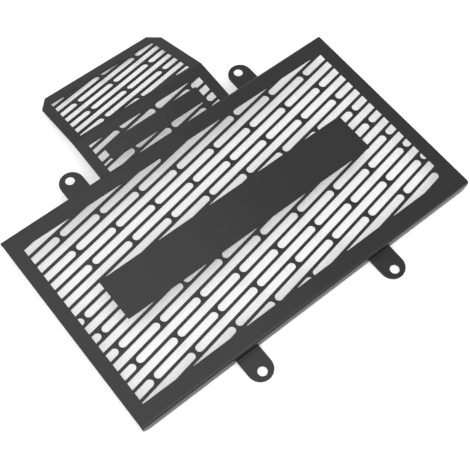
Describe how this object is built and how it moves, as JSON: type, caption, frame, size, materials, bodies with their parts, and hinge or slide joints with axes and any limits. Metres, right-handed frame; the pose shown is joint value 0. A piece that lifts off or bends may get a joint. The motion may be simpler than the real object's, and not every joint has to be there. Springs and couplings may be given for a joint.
{
  "type": "motorcycle radiator guard",
  "caption": "Black folded-sheet guard for a motorcycle radiator, with a slotted face on shallow flanges, rounded bolt tabs and a slotted apron folded out above.",
  "frame": {"origin": "middle of the front of the face, on the plain band", "axes": "+X along the face, +Y up the face towards the apron, +Z out of the front, towards the road"},
  "size_m": [0.3, 0.294, 0.0266],
  "materials": {
    "black_powder_coat": "satin black powder coat over sheet steel"
  },
  "bodies": {
    "root": {"radiator_guard": "black_powder_coat"}
  },
  "joints": []
}
